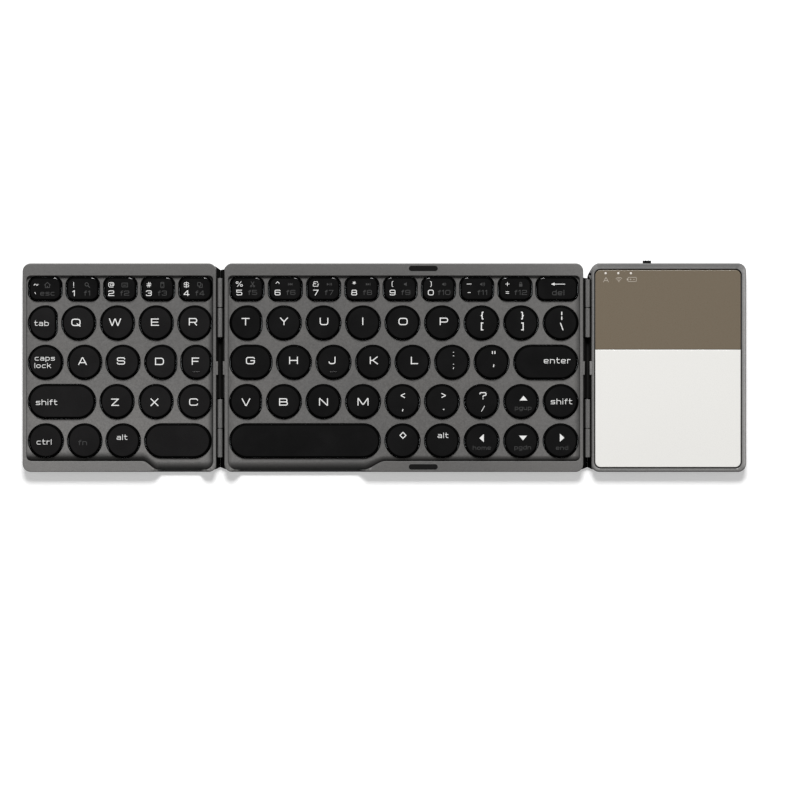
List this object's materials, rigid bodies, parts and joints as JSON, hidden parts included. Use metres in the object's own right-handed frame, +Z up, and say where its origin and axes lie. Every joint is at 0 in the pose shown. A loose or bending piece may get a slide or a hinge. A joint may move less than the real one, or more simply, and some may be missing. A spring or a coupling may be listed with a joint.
{
  "type": "folding keyboard",
  "caption": "Pocket keyboard in three thin hinged panels: two with round black keys, one with a taupe indicator strip and a white touch surface. The wings fold onto the middle.",
  "frame": {"origin": "middle of the open body, on the surface it stands on", "axes": "+X along the open keyboard towards the touch panel, +Y away from the user, +Z up out of the keys"},
  "size_m": [0.3312, 0.0968, 0.0072],
  "materials": {
    "frame_finish": "fine speckled dark grey anodised finish, satin",
    "cover_finish": "fine speckled dark grey anodised finish, satin",
    "touch_frame_finish": "speckled grey anodised finish, satin",
    "support_steel": "rolled sheet",
    "membrane_film": "clear printed film",
    "dome_rubber": "soft silicone",
    "scissor_plastic": "moulded, satin",
    "screw_steel": "dark zinc",
    "foot_rubber": "matt black",
    "hinge_metal": "dark grey, satin",
    "pin_steel": "ground",
    "black_plastic": "matt black",
    "cable_black": "matt black flexible cable",
    "taupe_glass": "smooth, back-painted taupe",
    "white_glass": "smooth, back-painted white",
    "circuit_board": "solder mask",
    "battery_foil": "foil pouch",
    "port_steel": "plated shell",
    "light_guide": "clear light guide",
    "key_plastic": "fine satin black"
  },
  "bodies": {
    "middle_panel": {"middle_top_frame": "frame_finish", "middle_bottom_cover": "cover_finish", "middle_support_plate": "support_steel", "middle_membrane": "membrane_film", "middle_domes": "dome_rubber", "middle_scissors": "scissor_plastic", "middle_screws": "screw_steel", "middle_feet": "foot_rubber", "rim_bumpers": "foot_rubber", "inner_hinge_knuckles": "hinge_metal", "hinge_pins": "pin_steel", "flex_clamps": "black_plastic"},
    "left_wing": {"left_top_frame": "frame_finish", "left_bottom_cover": "cover_finish", "left_support_plate": "support_steel", "left_membrane": "membrane_film", "left_domes": "dome_rubber", "left_scissors": "scissor_plastic", "left_screws": "screw_steel", "left_feet": "foot_rubber", "left_hinge_knuckles": "hinge_metal", "left_flex_cable": "cable_black"},
    "right_wing": {"right_top_frame": "touch_frame_finish", "right_bottom_cover": "cover_finish", "indicator_panel": "taupe_glass", "touch_surface": "white_glass", "touch_board": "circuit_board", "main_board": "circuit_board", "battery": "battery_foil", "charging_port": "port_steel", "indicator_leds": "light_guide", "right_screws": "screw_steel", "right_feet": "foot_rubber", "right_hinge_knuckles": "hinge_metal", "right_flex_cable": "cable_black"},
    "power_switch": {"power_switch_knob": "black_plastic"},
    "left_number_keys": {"left_number_keys": "key_plastic"},
    "tab_key": {"tab_key": "key_plastic"},
    "left_upper_letter_keys": {"left_upper_letter_keys": "key_plastic"},
    "caps_lock_key": {"caps_lock_key": "key_plastic"},
    "left_home_letter_keys": {"left_home_letter_keys": "key_plastic"},
    "left_shift_key": {"left_shift_key": "key_plastic"},
    "left_lower_letter_keys": {"left_lower_letter_keys": "key_plastic"},
    "ctrl_key": {"ctrl_key": "key_plastic"},
    "fn_key": {"fn_key": "key_plastic"},
    "left_alt_key": {"left_alt_key": "key_plastic"},
    "left_space_key": {"left_space_key": "key_plastic"},
    "right_number_keys": {"right_number_keys": "key_plastic"},
    "delete_key": {"delete_key": "key_plastic"},
    "right_upper_letter_keys": {"right_upper_letter_keys": "key_plastic"},
    "right_home_letter_keys": {"right_home_letter_keys": "key_plastic"},
    "enter_key": {"enter_key": "key_plastic"},
    "right_lower_letter_keys": {"right_lower_letter_keys": "key_plastic"},
    "up_arrow_key": {"up_arrow_key": "key_plastic"},
    "right_shift_key": {"right_shift_key": "key_plastic"},
    "right_space_key": {"right_space_key": "key_plastic"},
    "right_modifier_keys": {"right_modifier_keys": "key_plastic"},
    "left_arrow_key": {"left_arrow_key": "key_plastic"},
    "down_arrow_key": {"down_arrow_key": "key_plastic"},
    "right_arrow_key": {"right_arrow_key": "key_plastic"}
  },
  "joints": [
    {"name": "left_fold", "type": "hinge", "parent": "middle_panel", "child": "left_wing", "pos_m": [-0.0751, 0, 0.00605], "axis": [0, 1, 0], "range_deg": [0, 180], "deforming": ["left_flex_cable"]},
    {"name": "right_fold", "type": "hinge", "parent": "middle_panel", "child": "right_wing", "pos_m": [0.0929, 0, 0.00605], "axis": [0, -1, 0], "range_deg": [0, 180], "deforming": ["right_flex_cable"]},
    {"name": "power_switch_slide", "type": "slide", "parent": "right_wing", "child": "power_switch", "axis": [1, 0, 0], "range_m": [0, 0.002]},
    {"name": "left_number_keys_press", "type": "slide", "parent": "left_wing", "child": "left_number_keys", "axis": [0, 0, -1], "range_m": [0, 0.0013], "stiffness_N_per_m": 400, "springref_m": -0.0005, "deforming": ["left_domes", "left_scissors"]},
    {"name": "tab_key_press", "type": "slide", "parent": "left_wing", "child": "tab_key", "axis": [0, 0, -1], "range_m": [0, 0.0013], "stiffness_N_per_m": 400, "springref_m": -0.0005, "deforming": ["left_domes", "left_scissors"]},
    {"name": "left_upper_letter_keys_press", "type": "slide", "parent": "left_wing", "child": "left_upper_letter_keys", "axis": [0, 0, -1], "range_m": [0, 0.0013], "stiffness_N_per_m": 400, "springref_m": -0.0005, "deforming": ["left_domes", "left_scissors"]},
    {"name": "caps_lock_key_press", "type": "slide", "parent": "left_wing", "child": "caps_lock_key", "axis": [0, 0, -1], "range_m": [0, 0.0013], "stiffness_N_per_m": 400, "springref_m": -0.0005, "deforming": ["left_domes", "left_scissors"]},
    {"name": "left_home_letter_keys_press", "type": "slide", "parent": "left_wing", "child": "left_home_letter_keys", "axis": [0, 0, -1], "range_m": [0, 0.0013], "stiffness_N_per_m": 400, "springref_m": -0.0005, "deforming": ["left_domes", "left_scissors"]},
    {"name": "left_shift_key_press", "type": "slide", "parent": "left_wing", "child": "left_shift_key", "axis": [0, 0, -1], "range_m": [0, 0.0013], "stiffness_N_per_m": 400, "springref_m": -0.0005, "deforming": ["left_domes", "left_scissors"]},
    {"name": "left_lower_letter_keys_press", "type": "slide", "parent": "left_wing", "child": "left_lower_letter_keys", "axis": [0, 0, -1], "range_m": [0, 0.0013], "stiffness_N_per_m": 400, "springref_m": -0.0005, "deforming": ["left_domes", "left_scissors"]},
    {"name": "ctrl_key_press", "type": "slide", "parent": "left_wing", "child": "ctrl_key", "axis": [0, 0, -1], "range_m": [0, 0.0013], "stiffness_N_per_m": 400, "springref_m": -0.0005, "deforming": ["left_domes", "left_scissors"]},
    {"name": "fn_key_press", "type": "slide", "parent": "left_wing", "child": "fn_key", "axis": [0, 0, -1], "range_m": [0, 0.0013], "stiffness_N_per_m": 400, "springref_m": -0.0005, "deforming": ["left_domes", "left_scissors"]},
    {"name": "left_alt_key_press", "type": "slide", "parent": "left_wing", "child": "left_alt_key", "axis": [0, 0, -1], "range_m": [0, 0.0013], "stiffness_N_per_m": 400, "springref_m": -0.0005, "deforming": ["left_domes", "left_scissors"]},
    {"name": "left_space_key_press", "type": "slide", "parent": "left_wing", "child": "left_space_key", "axis": [0, 0, -1], "range_m": [0, 0.0013], "stiffness_N_per_m": 400, "springref_m": -0.0005, "deforming": ["left_domes", "left_scissors"]},
    {"name": "right_number_keys_press", "type": "slide", "parent": "middle_panel", "child": "right_number_keys", "axis": [0, 0, -1], "range_m": [0, 0.0013], "stiffness_N_per_m": 400, "springref_m": -0.0005, "deforming": ["middle_domes", "middle_scissors"]},
    {"name": "delete_key_press", "type": "slide", "parent": "middle_panel", "child": "delete_key", "axis": [0, 0, -1], "range_m": [0, 0.0013], "stiffness_N_per_m": 400, "springref_m": -0.0005, "deforming": ["middle_domes", "middle_scissors"]},
    {"name": "right_upper_letter_keys_press", "type": "slide", "parent": "middle_panel", "child": "right_upper_letter_keys", "axis": [0, 0, -1], "range_m": [0, 0.0013], "stiffness_N_per_m": 400, "springref_m": -0.0005, "deforming": ["middle_domes", "middle_scissors"]},
    {"name": "right_home_letter_keys_press", "type": "slide", "parent": "middle_panel", "child": "right_home_letter_keys", "axis": [0, 0, -1], "range_m": [0, 0.0013], "stiffness_N_per_m": 400, "springref_m": -0.0005, "deforming": ["middle_domes", "middle_scissors"]},
    {"name": "enter_key_press", "type": "slide", "parent": "middle_panel", "child": "enter_key", "axis": [0, 0, -1], "range_m": [0, 0.0013], "stiffness_N_per_m": 400, "springref_m": -0.0005, "deforming": ["middle_domes", "middle_scissors"]},
    {"name": "right_lower_letter_keys_press", "type": "slide", "parent": "middle_panel", "child": "right_lower_letter_keys", "axis": [0, 0, -1], "range_m": [0, 0.0013], "stiffness_N_per_m": 400, "springref_m": -0.0005, "deforming": ["middle_domes", "middle_scissors"]},
    {"name": "up_arrow_key_press", "type": "slide", "parent": "middle_panel", "child": "up_arrow_key", "axis": [0, 0, -1], "range_m": [0, 0.0013], "stiffness_N_per_m": 400, "springref_m": -0.0005, "deforming": ["middle_domes", "middle_scissors"]},
    {"name": "right_shift_key_press", "type": "slide", "parent": "middle_panel", "child": "right_shift_key", "axis": [0, 0, -1], "range_m": [0, 0.0013], "stiffness_N_per_m": 400, "springref_m": -0.0005, "deforming": ["middle_domes", "middle_scissors"]},
    {"name": "right_space_key_press", "type": "slide", "parent": "middle_panel", "child": "right_space_key", "axis": [0, 0, -1], "range_m": [0, 0.0013], "stiffness_N_per_m": 400, "springref_m": -0.0005, "deforming": ["middle_domes", "middle_scissors"]},
    {"name": "right_modifier_keys_press", "type": "slide", "parent": "middle_panel", "child": "right_modifier_keys", "axis": [0, 0, -1], "range_m": [0, 0.0013], "stiffness_N_per_m": 400, "springref_m": -0.0005, "deforming": ["middle_domes", "middle_scissors"]},
    {"name": "left_arrow_key_press", "type": "slide", "parent": "middle_panel", "child": "left_arrow_key", "axis": [0, 0, -1], "range_m": [0, 0.0013], "stiffness_N_per_m": 400, "springref_m": -0.0005, "deforming": ["middle_domes", "middle_scissors"]},
    {"name": "down_arrow_key_press", "type": "slide", "parent": "middle_panel", "child": "down_arrow_key", "axis": [0, 0, -1], "range_m": [0, 0.0013], "stiffness_N_per_m": 400, "springref_m": -0.0005, "deforming": ["middle_domes", "middle_scissors"]},
    {"name": "right_arrow_key_press", "type": "slide", "parent": "middle_panel", "child": "right_arrow_key", "axis": [0, 0, -1], "range_m": [0, 0.0013], "stiffness_N_per_m": 400, "springref_m": -0.0005, "deforming": ["middle_domes", "middle_scissors"]}
  ]
}
